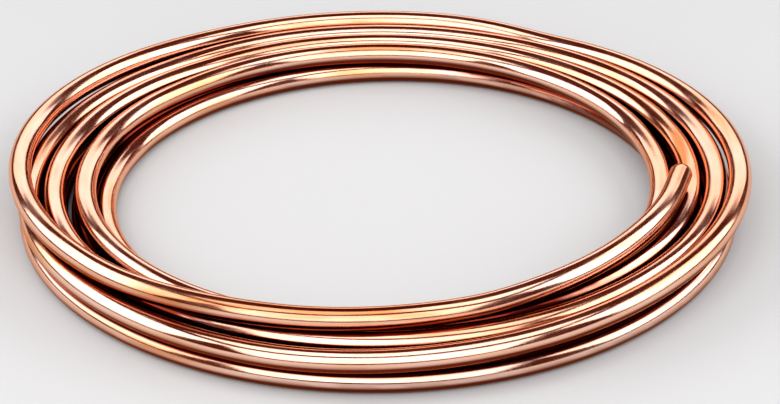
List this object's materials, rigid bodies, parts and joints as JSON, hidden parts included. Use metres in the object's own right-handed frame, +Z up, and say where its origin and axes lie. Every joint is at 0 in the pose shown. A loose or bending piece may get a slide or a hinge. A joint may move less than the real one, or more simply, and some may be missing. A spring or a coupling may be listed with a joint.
{
  "type": "copper tube coil",
  "caption": "Loose round coil of annealed copper tube, wound in layers and lying flat, with both cut ends open, for running a small fuel, gas or water line.",
  "frame": {"origin": "under the coil's middle, on the floor it lies on", "axes": "+Z up along the coil's axis, -Y toward the viewer of the picture, +X to the right"},
  "size_m": [0.3292, 0.3279, 0.0322],
  "materials": {
    "copper": "bright drawn copper"
  },
  "bodies": {
    "root": {"tube_coil": "copper"}
  },
  "joints": []
}
